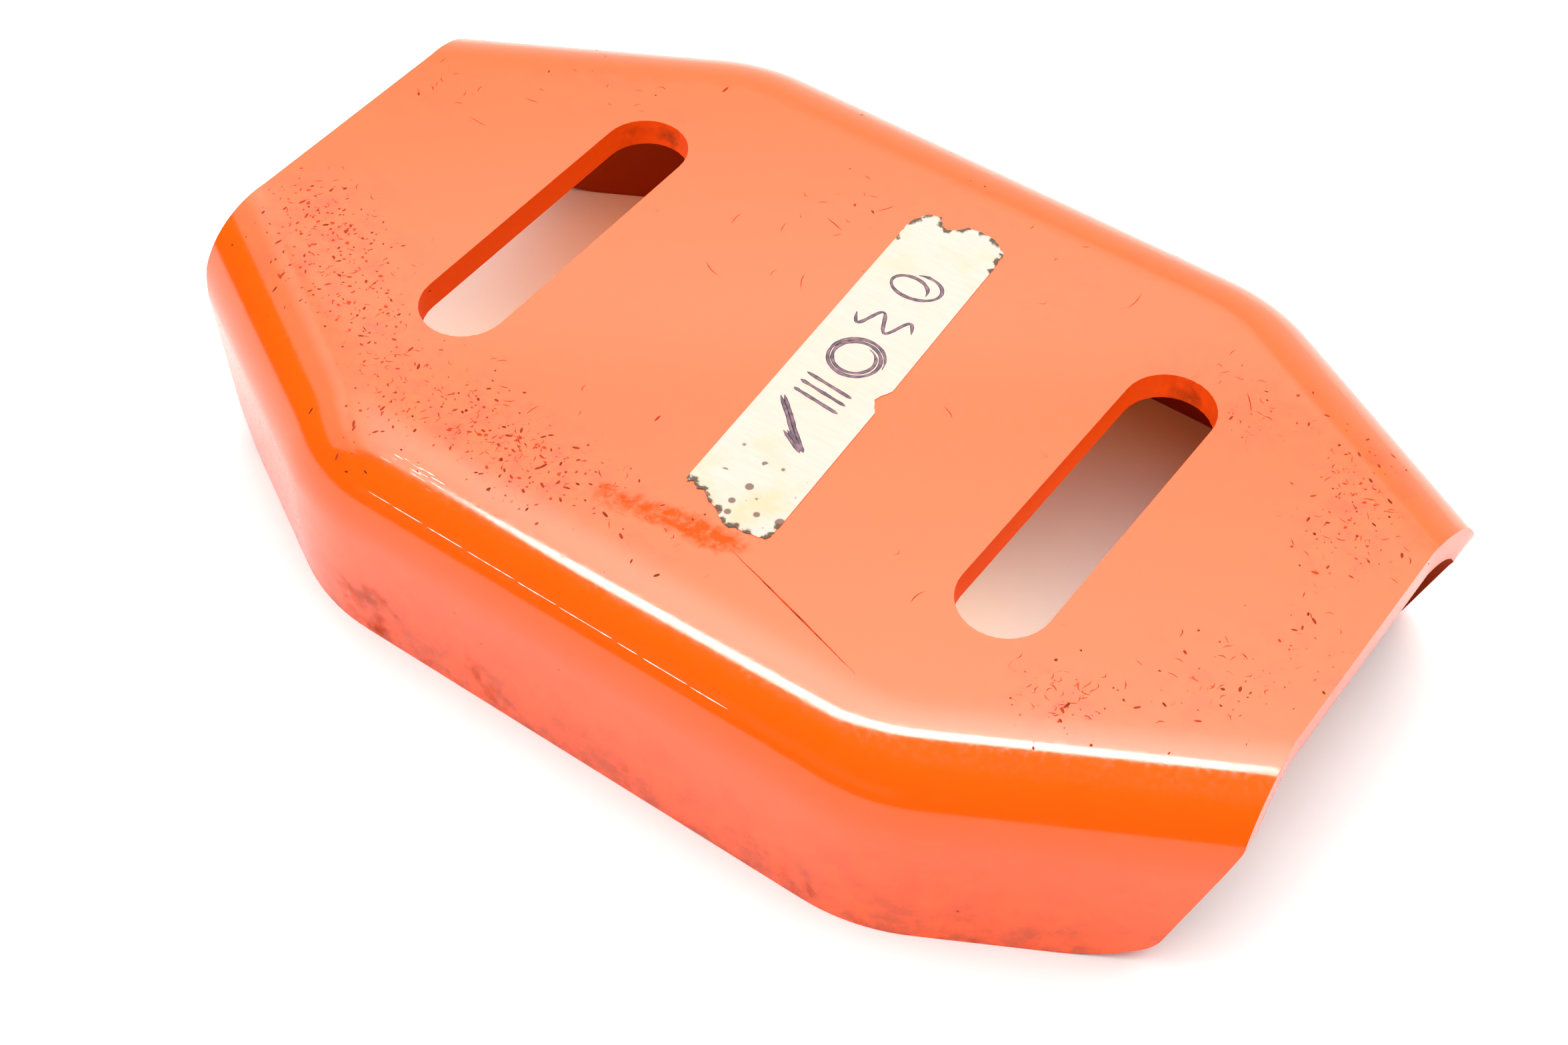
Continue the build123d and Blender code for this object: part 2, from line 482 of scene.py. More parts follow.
# %% [markdown]
# ## Turning modifiers into plain meshes
# A piece is finished when its mesh holds the final shape, with no live modifier, and its object sits at the
# origin, unturned. `new_from_object` on the evaluated object gives exactly that mesh.

# %% Bake a modifier stack and roll the rims
ROLL_WIDTH = 0.55


def make_object(name, mesh):
    """Links a new object that shows a mesh."""
    made = bpy.data.objects.new(name, mesh)
    bpy.context.scene.collection.objects.link(made)
    return made


def settle(piece):
    """Replaces a piece's mesh by what its modifiers make, and removes them."""
    graph = bpy.context.evaluated_depsgraph_get()
    mesh = bpy.data.meshes.new_from_object(piece.evaluated_get(graph))
    piece.modifiers.clear()
    old, piece.data = piece.data, mesh
    bpy.data.meshes.remove(old)
    mesh.name = piece.name


shoe_mesh = bpy.data.meshes.new("pressed_shoe")
bm.to_mesh(shoe_mesh)
bm.free()
shoe_mesh.shade_smooth()
shoe = make_object("pressed_shoe", shoe_mesh)
roll = shoe.modifiers.new("rolled rims", "BEVEL")
roll.limit_method = "WEIGHT"
roll.width = ROLL_WIDTH * MM
roll.segments = 4
roll.harden_normals = True
settle(shoe)
print("shoe", len(shoe.data.polygons), "faces")

# %% [markdown]
# ## Gloss orange enamel
# Sprayed enamel over steel: a smooth coloured film, glossy enough to mirror the lamps with a crisp edge,
# with the faint pebbling that sprayers call orange peel. It isn't a metal, so metallic stays 0 and the IOR
# is about 1.5. Age adds freckles where rust comes through, short nicks, grime and a smear of old glue.
# Painted shade darkens the inner faces and, with the grime, the far walls of the slots. Each mark is a mask
# from a texture that is cut off sharply, and the stored amounts say how much of it there is. Marks mirror
# less than clean film, so the specular level falls where they are, and on the inner faces as painted shade.

# %% Enamel material
def new_material(name):
    """An empty material with its shader and output."""
    material = bpy.data.materials.new(name)
    material.use_nodes = True
    tree = material.node_tree
    tree.nodes.clear()
    shader = add_node(tree, "ShaderNodeBsdfPrincipled")
    add_node(tree, "ShaderNodeOutputMaterial", {"Surface": shader.outputs[0]})
    return material, tree, shader


enamel, tree, shader = new_material("gloss_orange_enamel")
place_of = add_node(tree, "ShaderNodeTexCoord").outputs["Object"]
rust_amount = add_node(tree, "ShaderNodeAttribute", attribute_name="rust").outputs["Fac"]
grime_and_shade_amount = add_node(tree, "ShaderNodeAttribute", attribute_name="grime_and_shade").outputs["Fac"]
glue_amount = add_node(tree, "ShaderNodeAttribute", attribute_name="glue").outputs["Fac"]

cloud = add_node(tree, "ShaderNodeTexNoise", {"Vector": place_of, "Scale": per(35), "Detail": 3.0})
film = add_node(tree, "ShaderNodeMix", {
    0: cloud.outputs["Fac"], 6: srgb("#fa5107"), 7: srgb("#fc5508"),
}, data_type="RGBA").outputs[2]

# Painted shade: the inner faces are mixed towards dark red by the stored inner amount.
inner_shade_amount = add_node(tree, "ShaderNodeAttribute", attribute_name="inner_shade").outputs["Fac"]
share = add_node(tree, "ShaderNodeMath", {0: inner_shade_amount, 1: 0.9}, operation="MULTIPLY").outputs[0]
film = add_node(tree, "ShaderNodeMix", {0: share, 6: film, 7: srgb("#8a2c04")}, data_type="RGBA").outputs[2]
# A darker haze where rust or grime is; in the slots' far walls it is painted shade.
haze = add_node(tree, "ShaderNodeTexNoise", {
    "Vector": place_of, "Scale": per(3.0), "Detail": 6.0, "Roughness": 0.7,
})
dulled = add_node(tree, "ShaderNodeMath", {0: rust_amount, 1: grime_and_shade_amount}, operation="MAXIMUM").outputs[0]
mask = add_node(tree, "ShaderNodeMapRange", {
    "Value": haze.outputs["Fac"], "From Min": 0.45, "From Max": 0.65,
}).outputs[0]
haze_mask = add_node(tree, "ShaderNodeMath", {0: mask, 1: dulled}, operation="MULTIPLY").outputs[0]
share = add_node(tree, "ShaderNodeMath", {0: haze_mask, 1: 0.45}, operation="MULTIPLY").outputs[0]
film = add_node(tree, "ShaderNodeMix", {0: share, 6: film, 7: srgb("#b82a04")}, data_type="RGBA").outputs[2]

wander = add_node(tree, "ShaderNodeTexNoise", {
    "Vector": place_of, "Scale": per(0.8), "Detail": 3.0,
}).outputs["Color"]
wander = add_node(tree, "ShaderNodeVectorMath", {0: wander, "Scale": 0.9 * MM}, operation="SCALE").outputs[0]
ragged_place = add_node(tree, "ShaderNodeVectorMath", {0: place_of, 1: wander}, operation="ADD").outputs[0]
height = add_node(tree, "ShaderNodeSeparateXYZ", {0: place_of}).outputs[2]
kicked_up = add_node(tree, "ShaderNodeTexNoise", {
    "Vector": place_of, "Scale": per(4.5), "Detail": 8.0, "Roughness": 0.72,
})
mask = add_node(tree, "ShaderNodeMapRange", {
    "Value": height, "From Min": 18 * MM, "From Max": 3 * MM,
}).outputs[0]
mask_2 = add_node(tree, "ShaderNodeMapRange", {
    "Value": kicked_up.outputs["Fac"], "From Min": 0.44, "From Max": 0.62,
}).outputs[0]
kicked_mask = add_node(tree, "ShaderNodeMath", {0: mask, 1: mask_2}, operation="MULTIPLY").outputs[0]
share = add_node(tree, "ShaderNodeMath", {0: kicked_mask, 1: 0.5}, operation="MULTIPLY").outputs[0]
film = add_node(tree, "ShaderNodeMix", {0: share, 6: film, 7: srgb("#963208")}, data_type="RGBA").outputs[2]

freckle_cells = add_node(tree, "ShaderNodeTexVoronoi", {"Vector": ragged_place, "Scale": per(0.8)})
cell_chance = add_node(tree, "ShaderNodeSeparateColor", {0: freckle_cells.outputs["Color"]}).outputs[0]
share = add_node(tree, "ShaderNodeMath", {0: rust_amount, 1: cell_chance}, operation="MULTIPLY").outputs[0]
freckle_size = add_node(tree, "ShaderNodeMath", {0: share, 1: 0.40}, operation="MULTIPLY").outputs[0]
excess = add_node(tree, "ShaderNodeMath", {
    0: freckle_size, 1: freckle_cells.outputs["Distance"],
}, operation="SUBTRACT").outputs[0]
freckles = add_node(tree, "ShaderNodeMapRange", {
    "Value": excess, "From Min": 0.0, "From Max": 0.06,
}).outputs[0]
share = add_node(tree, "ShaderNodeMath", {0: freckles, 1: 0.8}, operation="MULTIPLY").outputs[0]
film = add_node(tree, "ShaderNodeMix", {0: share, 6: film, 7: srgb("#a02c08")}, data_type="RGBA").outputs[2]

nick_place = add_node(tree, "ShaderNodeMapping", {
    "Vector": place_of, "Rotation": (0.3, 0.2, 0.7), "Scale": (1, 0.28, 1),
})
nick_cells = add_node(tree, "ShaderNodeTexVoronoi", {"Vector": nick_place.outputs[0], "Scale": per(2.4)})
nick_chance = add_node(tree, "ShaderNodeSeparateColor", {0: nick_cells.outputs["Color"]}).outputs[1]
mask = add_node(tree, "ShaderNodeMapRange", {
    "Value": nick_chance, "From Min": 0.86, "From Max": 1.0,
}).outputs[0]
nick_size = add_node(tree, "ShaderNodeMath", {0: mask, 1: 0.09}, operation="MULTIPLY").outputs[0]
excess = add_node(tree, "ShaderNodeMath", {
    0: nick_size, 1: nick_cells.outputs["Distance"],
}, operation="SUBTRACT").outputs[0]
nicks = add_node(tree, "ShaderNodeMapRange", {"Value": excess, "From Min": 0.0, "From Max": 0.02}).outputs[0]
film = add_node(tree, "ShaderNodeMix", {0: nicks, 6: film, 7: srgb("#96290a")}, data_type="RGBA").outputs[2]

smear = add_node(tree, "ShaderNodeTexNoise", {
    "Vector": place_of, "Scale": per(1.1), "Detail": 6.0, "Roughness": 0.7,
})
share = add_node(tree, "ShaderNodeMath", {
    0: smear.outputs["Fac"], 1: glue_amount,
}, operation="MULTIPLY").outputs[0]
smear_mask = add_node(tree, "ShaderNodeMapRange", {
    "Value": share, "From Min": 0.26, "From Max": 0.5,
}).outputs[0]
share = add_node(tree, "ShaderNodeMath", {0: smear_mask, 1: 0.5}, operation="MULTIPLY").outputs[0]
film = add_node(tree, "ShaderNodeMix", {0: share, 6: film, 7: srgb("#d03606")}, data_type="RGBA").outputs[2]

# Dark grime where the stored amount is; in the slots' far walls the same mix is painted shade.
dirt = add_node(tree, "ShaderNodeTexNoise", {
    "Vector": place_of, "Scale": per(2.6), "Detail": 8.0, "Roughness": 0.65,
})
share = add_node(tree, "ShaderNodeMath", {
    0: dirt.outputs["Fac"], 1: grime_and_shade_amount,
}, operation="MULTIPLY").outputs[0]
dirt_and_shade_mask = add_node(tree, "ShaderNodeMapRange", {
    "Value": share, "From Min": 0.32, "From Max": 0.56,
}).outputs[0]
share = add_node(tree, "ShaderNodeMath", {0: dirt_and_shade_mask, 1: 0.6}, operation="MULTIPLY").outputs[0]
film = add_node(tree, "ShaderNodeMix", {0: share, 6: film, 7: srgb("#6b2a10")}, data_type="RGBA").outputs[2]

worn = add_node(tree, "ShaderNodeMath", {0: freckles, 1: dirt_and_shade_mask}, operation="MAXIMUM").outputs[0]
roughness = add_node(tree, "ShaderNodeMapRange", {
    "Value": worn, "To Min": 0.09, "To Max": 0.6,
}).outputs["Result"]
rubbed = add_node(tree, "ShaderNodeTexNoise", {
    "Vector": place_of, "Scale": per(0.7), "Detail": 5.0, "Roughness": 0.7,
})
mask = add_node(tree, "ShaderNodeMapRange", {
    "Value": rubbed.outputs["Fac"], "From Min": 0.46, "From Max": 0.72,
}).outputs[0]
rubbed_dull = add_node(tree, "ShaderNodeMath", {0: mask, 1: 0.12}, operation="MULTIPLY").outputs[0]
roughness = add_node(tree, "ShaderNodeMath", {0: roughness, 1: rubbed_dull}, operation="ADD").outputs[0]
peel = add_node(tree, "ShaderNodeTexNoise", {"Vector": place_of, "Scale": per(1.6), "Detail": 2.0})
share = add_node(tree, "ShaderNodeMath", {0: peel.outputs["Fac"], 1: 0.5}, operation="MULTIPLY").outputs[0]
share_2 = add_node(tree, "ShaderNodeMath", {0: worn, 1: 1.2}, operation="MULTIPLY").outputs[0]
surface = add_node(tree, "ShaderNodeMath", {0: share, 1: share_2}, operation="SUBTRACT").outputs[0]
bump = add_node(tree, "ShaderNodeBump", {"Strength": 0.35, "Distance": 0.03 * MM, "Height": surface})
marked = add_node(tree, "ShaderNodeMath", {0: worn, 1: nicks}, operation="MAXIMUM").outputs[0]
marked = add_node(tree, "ShaderNodeMath", {0: marked, 1: smear_mask}, operation="MAXIMUM").outputs[0]
mirror_level = add_node(tree, "ShaderNodeMapRange", {
    "Value": marked, "To Min": 0.5, "To Max": 0.05,
}).outputs["Result"]
# Painted shade: the specular level falls on the inner faces as well.
out_of_light = add_node(tree, "ShaderNodeMapRange", {
    "Value": inner_shade_amount, "To Min": 1.0, "To Max": 0.15,
}).outputs["Result"]
mirror_level = add_node(tree, "ShaderNodeMath", {
    0: mirror_level, 1: out_of_light,
}, operation="MULTIPLY").outputs[0]
set_inputs(tree, shader, {
    "Base Color": film, "Roughness": roughness, "IOR": 1.5, "Specular IOR Level": mirror_level,
    "Normal": bump.outputs[0],
})
shoe.data.materials.append(enamel)

# The punched walls of the slots are rougher than the rolled skin, so the same paint lies dull on them.
dull_enamel = enamel.copy()
dull_enamel.name = "enamel_on_punched_steel"
dull_tree = dull_enamel.node_tree
dull_shader = next(node for node in dull_tree.nodes if node.type == "BSDF_PRINCIPLED")
for socket_name, value in (("Specular IOR Level", 0.06), ("Roughness", 0.5)):
    dull_tree.links.remove(dull_shader.inputs[socket_name].links[0])
    dull_shader.inputs[socket_name].default_value = value
shoe.data.materials.append(dull_enamel)
for polygon in shoe.data.polygons:
    middle = polygon.center / MM
    if abs(polygon.normal.z) < 0.3 and in_slot(middle.x, middle.y, 0.3):
        polygon.material_index = 1
print(enamel.name, len(tree.nodes), "nodes")

# %% [markdown]
# ## Rust specks that stand up from the paint
# Where rust lifts the enamel it makes tiny blisters, a fraction of a millimetre across. Geometry Nodes
# scatter them: points fall on the shoe as thickly as the stored rust says, and each gets a flattened ball
# with its own size and turn. Realising the instances and baking the result leaves a plain mesh.

# %% Scatter the specks
def new_tree(name, sockets):
    """A Geometry Nodes tree with named inputs, and its input and output nodes."""
    made = bpy.data.node_groups.new(name, "GeometryNodeTree")
    made.interface.new_socket("Geometry", in_out="OUTPUT", socket_type="NodeSocketGeometry")
    made.interface.new_socket("Geometry", in_out="INPUT", socket_type="NodeSocketGeometry")
    for label, kind in sockets.items():
        made.interface.new_socket(label, in_out="INPUT", socket_type=kind)
    return made, add_node(made, "NodeGroupInput"), add_node(made, "NodeGroupOutput")


def run_tree(piece, nodes, values):
    """Runs a tree on a piece with its inputs set by their identifiers, and keeps the result as its mesh."""
    modifier = piece.modifiers.new(nodes.name, "NODES")
    modifier.node_group = nodes
    for item in nodes.interface.items_tree:
        if item.in_out == "INPUT" and item.name in values:
            modifier[item.identifier] = values[item.name]
    settle(piece)
    return piece


FLOAT, INT, MATERIAL = "NodeSocketFloat", "NodeSocketInt", "NodeSocketMaterial"
SPECK_SEGMENTS, SPECK_RINGS = 8, 4
specks_tree, given, out = new_tree("rust specks", {
    "Specks a Square Metre": FLOAT, "Smallest": FLOAT, "Largest": FLOAT, "Height": FLOAT,
    "Seed": INT, "Finish": MATERIAL,
})
stored = add_node(specks_tree, "GeometryNodeInputNamedAttribute", {"Name": "rust"}, data_type="FLOAT")
steep = add_node(specks_tree, "ShaderNodeMath", {
    0: stored.outputs["Attribute"], 1: stored.outputs["Attribute"],
}, operation="MULTIPLY").outputs[0]
thickly = add_node(specks_tree, "ShaderNodeMath", {
    0: steep, 1: given.outputs["Specks a Square Metre"],
}, operation="MULTIPLY").outputs[0]
spread = add_node(specks_tree, "GeometryNodeDistributePointsOnFaces", {
    "Mesh": given.outputs["Geometry"], "Density": thickly, "Seed": given.outputs["Seed"],
})
ball = add_node(specks_tree, "GeometryNodeMeshUVSphere", {
    "Segments": SPECK_SEGMENTS, "Rings": SPECK_RINGS, "Radius": 1.0,
})
size = add_node(specks_tree, "FunctionNodeRandomValue", {
    2: given.outputs["Smallest"], 3: given.outputs["Largest"], "Seed": 3,
}, data_type="FLOAT").outputs[1]
length = add_node(specks_tree, "FunctionNodeRandomValue", {
    2: 0.8, 3: 3.0, "Seed": 4,
}, data_type="FLOAT").outputs[1]
share = add_node(specks_tree, "ShaderNodeMath", {0: size, 1: length}, operation="MULTIPLY").outputs[0]
scale = add_node(specks_tree, "ShaderNodeCombineXYZ", {
    "X": share, "Y": size, "Z": given.outputs["Height"],
})
angle = add_node(specks_tree, "FunctionNodeRandomValue", {
    2: 0.0, 3: math.tau, "Seed": 5,
}, data_type="FLOAT").outputs[1]
spin = add_node(specks_tree, "ShaderNodeCombineXYZ", {"Z": angle})
turned = add_node(specks_tree, "FunctionNodeRotateRotation", {
    "Rotation": spread.outputs["Rotation"], "Rotate By": spin.outputs[0],
}, rotation_space="LOCAL")
placed = add_node(specks_tree, "GeometryNodeInstanceOnPoints", {
    "Points": spread.outputs["Points"], "Instance": ball.outputs["Mesh"],
    "Rotation": turned.outputs[0], "Scale": scale.outputs[0],
})
real = add_node(specks_tree, "GeometryNodeRealizeInstances", {0: placed.outputs[0]})
finished = add_node(specks_tree, "GeometryNodeSetMaterial", {
    "Geometry": real.outputs[0], "Material": given.outputs["Finish"],
})
specks_tree.links.new(finished.outputs[0], out.inputs[0])

rust_scale, tree, shader = new_material("rust_through_enamel")
rust_place = add_node(tree, "ShaderNodeTexCoord").outputs["Object"]
rust_grain = add_node(tree, "ShaderNodeTexNoise", {"Vector": rust_place, "Scale": per(1.5), "Detail": 4.0})
grain_mask = add_node(tree, "ShaderNodeMapRange", {
    "Value": rust_grain.outputs["Fac"], "From Min": 0.3, "From Max": 0.7,
}).outputs[0]
rust_colour = add_node(tree, "ShaderNodeMix", {
    0: grain_mask, 6: srgb("#4f1d08"), 7: srgb("#a83a10"),
}, data_type="RGBA").outputs[2]
rust_bump = add_node(tree, "ShaderNodeBump", {
    "Strength": 0.4, "Distance": 0.03 * MM, "Height": rust_grain.outputs["Fac"],
})
set_inputs(tree, shader, {
    "Base Color": rust_colour, "Specular IOR Level": 0.08, "Roughness": 0.85, "IOR": 1.5,
    "Normal": rust_bump.outputs[0],
})

specks = make_object("rust_specks", shoe.data.copy())
run_tree(specks, specks_tree, {
    "Specks a Square Metre": 420000.0, "Smallest": 0.05 * MM, "Largest": 0.19 * MM, "Height": 0.03 * MM,
    "Seed": 7, "Finish": rust_scale,
})
print("rust specks", len(specks.data.polygons) // (SPECK_SEGMENTS * SPECK_RINGS))

# %% [markdown]
# ## Masking tape
# Masking tape is crêped paper: fine ridges run across it, so that it stretches. This strip was torn by hand,
# so its ends are ragged, and dirt has stuck to the glue along the tears. The outline is drawn from a few
# points at each end with small seeded jitter between them, filled with even triangles, lifted by the
# paper's thickness, and creped by a Geometry Nodes tree that pushes its top up and down in ridges.

# %% Outline of the torn strip
TAPE_X, TAPE_Y = 4.73, 0.0
TAPE_TURN = math.radians(4.1)
TAPE_GRID = 0.55
FAR_TEAR = [
    (6.35, 23.6), (6.25, 25.6), (6.2, 27.0), (4.8, 28.4), (3.8, 28.9), (2.3, 29.1), (0.2, 29.1), (-0.4, 28.2),
    (-1.7, 27.3), (-2.8, 27.8), (-3.4, 29.0), (-5.1, 28.5), (-5.9, 27.2), (-6.35, 26.2), (-6.35, 23.0),
]
NEAR_TEAR = [
    (-6.35, -23.2), (-6.0, -23.7), (-5.4, -23.2), (-4.5, -24.0), (-3.8, -23.7), (-2.6, -24.7), (-1.0, -25.4),
    (0.5, -26.6), (1.6, -26.9), (2.2, -26.5), (3.7, -26.6), (5.9, -26.2), (6.2, -25.6), (6.3, -24.0),
]
NICK = [(6.4, -3.7), (5.9, -3.0), (5.3, -1.9), (5.7, -0.9), (6.4, 0.3)]
rng = random.Random(11)


def ragged(points, jitter):
    """A torn line through the points: each stretch is split and its middle points are shifted."""
    line = [points[0]]
    for a, b in zip(points, points[1:]):
        parts = max(2, round(math.dist(a, b) / 0.35))
        for i in range(1, parts):
            x, y = (p + (q - p) * i / parts for p, q in zip(a, b))
            line.append((x + rng.uniform(-jitter, jitter), y + rng.uniform(-jitter, jitter)))
        line.append(b)
    return line


def straight(a, b, step=0.8):
    parts = round(math.dist(a, b) / step)
    return [(a[0] + (b[0] - a[0]) * i / parts, a[1] + (b[1] - a[1]) * i / parts) for i in range(1, parts)]


tape_outline = ragged(FAR_TEAR, 0.10) + straight(FAR_TEAR[-1], NEAR_TEAR[0]) + ragged(NEAR_TEAR, 0.10)
tape_outline += straight(NEAR_TEAR[-1], NICK[0]) + ragged(NICK, 0.05) + straight(NICK[-1], FAR_TEAR[0])
print(len(tape_outline), "points round the tape")

# %% Fill the strip and give it thickness
PAPER = 0.11
LIFT = 0.004


def on_web(across, along_tape, height):
    """A point of the tape, in metres, from where it is on the strip in millimetres."""
    x = TAPE_X + across * math.cos(TAPE_TURN) - along_tape * math.sin(TAPE_TURN)
    y = TAPE_Y + across * math.sin(TAPE_TURN) + along_tape * math.cos(TAPE_TURN)
    return x * MM, y * MM, (TOP + height) * MM


def tear_distance(across, along_tape):
    """How far a point is from the nearer torn end, in millimetres."""
    tear = FAR_TEAR if along_tape > 0 else NEAR_TEAR
    return min(math.dist((across, along_tape), p) for p in tear)


flat_points = [Vector(p) for p in tape_outline]
ring_edges = [(i, (i + 1) % len(flat_points)) for i in range(len(flat_points))]
for i in range(-12, 13):
    for j in range(-53, 54):
        spot = Vector(((i + 0.5 * (j % 2)) * TAPE_GRID, j * TAPE_GRID))
        if abs(spot.x) < 6.0:
            flat_points.append(spot)
made = delaunay_2d_cdt(flat_points, ring_edges, [], 1, 1e-5)
tape_bm = bmesh.new()
on_top = tape_bm.verts.layers.float.new("on_top")
dirt_layer = tape_bm.verts.layers.float.new("dirt")
upper = [tape_bm.verts.new(on_web(p.x, p.y, PAPER)) for p in made[0]]
lower = [tape_bm.verts.new(on_web(p.x, p.y, LIFT)) for p in made[0]]
for vert, low, p in zip(upper, lower, made[0]):
    vert[on_top] = 1.0
    vert[dirt_layer] = low[dirt_layer] = math.exp(-(tear_distance(p.x, p.y) / 1.1) ** 2)
used = {}
for corners in made[2]:
    tape_bm.faces.new([upper[i] for i in corners])
    tape_bm.faces.new([lower[i] for i in reversed(corners)])
    for a, b in zip(corners, corners[1:] + corners[:1]):
        used[(a, b)] = used.get((a, b), 0) + 1
for a, b in used:
    if (b, a) not in used:
        tape_bm.faces.new([upper[b], upper[a], lower[a], lower[b]])
for vert in [v for v in tape_bm.verts if not v.link_faces]:
    tape_bm.verts.remove(vert)
bmesh.ops.recalc_face_normals(tape_bm, faces=tape_bm.faces)
print("tape", len(tape_bm.faces), "faces,", sum(not e.is_manifold for e in tape_bm.edges), "open edges")

# %% Crêpe the paper
tape_mesh = bpy.data.meshes.new("masking_tape")
tape_bm.to_mesh(tape_mesh)
tape_bm.free()
tape = make_object("masking_tape", tape_mesh)

crepe_tree, given, out = new_tree("crepe ridges", {
    "Ridge Spacing": FLOAT, "Ridge Height": FLOAT, "Turn": FLOAT, "Finish": MATERIAL,
})
where = add_node(crepe_tree, "GeometryNodeInputPosition").outputs[0]
turn_by = add_node(crepe_tree, "ShaderNodeCombineXYZ", {"Z": given.outputs["Turn"]})
along_strip = add_node(crepe_tree, "ShaderNodeVectorRotate", {
    "Vector": where, "Rotation": turn_by.outputs[0],
}, rotation_type="EULER_XYZ")
parts = add_node(crepe_tree, "ShaderNodeSeparateXYZ", {0: along_strip.outputs[0]})
slow_x = add_node(crepe_tree, "ShaderNodeMath", {
    0: parts.outputs["X"], 1: 0.16,
}, operation="MULTIPLY").outputs[0]
stretched = add_node(crepe_tree, "ShaderNodeCombineXYZ", {"X": slow_x, "Y": parts.outputs["Y"]})
often = add_node(crepe_tree, "ShaderNodeMath", {
    0: 1.0, 1: given.outputs["Ridge Spacing"],
}, operation="DIVIDE").outputs[0]
ridges = add_node(crepe_tree, "ShaderNodeTexNoise", {
    "Vector": stretched.outputs[0], "Scale": often, "Detail": 1.0,
})
excess = add_node(crepe_tree, "ShaderNodeMath", {
    0: ridges.outputs["Fac"], 1: 0.5,
}, operation="SUBTRACT").outputs[0]
rise = add_node(crepe_tree, "ShaderNodeMath", {
    0: excess, 1: given.outputs["Ridge Height"],
}, operation="MULTIPLY").outputs[0]
push = add_node(crepe_tree, "ShaderNodeCombineXYZ", {"Z": rise})
top_only = add_node(crepe_tree, "GeometryNodeInputNamedAttribute", {"Name": "on_top"}, data_type="FLOAT")
raised = add_node(crepe_tree, "GeometryNodeSetPosition", {
    "Geometry": given.outputs["Geometry"], "Selection": top_only.outputs["Attribute"],
    "Offset": push.outputs[0],
})
real = add_node(crepe_tree, "GeometryNodeRealizeInstances", {0: raised.outputs[0]})
finished = add_node(crepe_tree, "GeometryNodeSetMaterial", {
    "Geometry": real.outputs[0], "Material": given.outputs["Finish"],
})
crepe_tree.links.new(finished.outputs[0], out.inputs[0])

# %% Paper material
paper, tree, shader = new_material("creped_masking_paper")
paper_place = add_node(tree, "ShaderNodeTexCoord").outputs["Object"]
squared = add_node(tree, "ShaderNodeMapping", {
    "Vector": paper_place, "Location": (-TAPE_X * MM, -TAPE_Y * MM, 0),
    "Rotation": (0, 0, -TAPE_TURN), "Scale": (0.16, 1, 1),
})
fibre = add_node(tree, "ShaderNodeTexNoise", {"Vector": squared.outputs[0], "Scale": per(0.5), "Detail": 4.0})
stain = add_node(tree, "ShaderNodeTexNoise", {"Vector": paper_place, "Scale": per(5), "Detail": 4.0})
stain_mask = add_node(tree, "ShaderNodeMapRange", {
    "Value": stain.outputs["Fac"], "From Min": 0.48, "From Max": 0.68,
}).outputs[0]
mask = add_node(tree, "ShaderNodeMapRange", {
    "Value": fibre.outputs["Fac"], "From Min": 0.3, "From Max": 0.7,
}).outputs[0]
paper_colour = add_node(tree, "ShaderNodeMix", {
    0: mask, 6: srgb("#b5a598"), 7: srgb("#bbac9d"),
}, data_type="RGBA").outputs[2]
along_tape = add_node(tree, "ShaderNodeSeparateXYZ", {0: paper_place}).outputs[1]
mask = add_node(tree, "ShaderNodeMapRange", {
    "Value": along_tape, "From Min": -8 * MM, "From Max": -17 * MM,
}).outputs[0]
mask_2 = add_node(tree, "ShaderNodeMapRange", {
    "Value": along_tape, "From Min": 15 * MM, "From Max": 26 * MM,
}).outputs[0]
near_tear, far_tear = mask, mask_2
at_tears = add_node(tree, "ShaderNodeMath", {0: near_tear, 1: far_tear}, operation="MAXIMUM").outputs[0]
stained = add_node(tree, "ShaderNodeMath", {
    0: stain_mask,
    1: add_node(tree, "ShaderNodeMapRange", {"Value": at_tears, "To Min": 0.2, "To Max": 0.8}).outputs[0],
}, operation="MULTIPLY").outputs[0]
paper_colour = add_node(tree, "ShaderNodeMix", {
    0: stained, 6: paper_colour, 7: srgb("#b9a07a"),
}, data_type="RGBA").outputs[2]
tear_dirt = add_node(tree, "ShaderNodeAttribute", attribute_name="dirt").outputs["Fac"]
crumbs = add_node(tree, "ShaderNodeTexNoise", {
    "Vector": paper_place, "Scale": per(1.3), "Detail": 6.0, "Roughness": 0.7,
})
share = add_node(tree, "ShaderNodeMath", {
    0: crumbs.outputs["Fac"], 1: tear_dirt,
}, operation="MULTIPLY").outputs[0]
crumb_mask = add_node(tree, "ShaderNodeMapRange", {
    "Value": share, "From Min": 0.33, "From Max": 0.42,
}).outputs[0]
paper_colour = add_node(tree, "ShaderNodeMix", {
    0: crumb_mask, 6: paper_colour, 7: srgb("#3a3018"),
}, data_type="RGBA").outputs[2]
spot_cells = add_node(tree, "ShaderNodeTexVoronoi", {"Vector": paper_place, "Scale": per(1.7)})
spot_chance = add_node(tree, "ShaderNodeSeparateColor", {0: spot_cells.outputs["Color"]}).outputs[2]
mask = add_node(tree, "ShaderNodeMapRange", {
    "Value": spot_chance, "From Min": 0.55, "From Max": 1.0,
}).outputs[0]
spot_size = add_node(tree, "ShaderNodeMath", {0: mask, 1: 0.60}, operation="MULTIPLY").outputs[0]
share = add_node(tree, "ShaderNodeMath", {0: spot_size, 1: near_tear}, operation="MULTIPLY").outputs[0]
excess = add_node(tree, "ShaderNodeMath", {
    0: share, 1: spot_cells.outputs["Distance"],
}, operation="SUBTRACT").outputs[0]
spots = add_node(tree, "ShaderNodeMapRange", {"Value": excess, "From Min": 0.0, "From Max": 0.04}).outputs[0]
share = add_node(tree, "ShaderNodeMath", {0: spots, 1: 0.85}, operation="MULTIPLY").outputs[0]
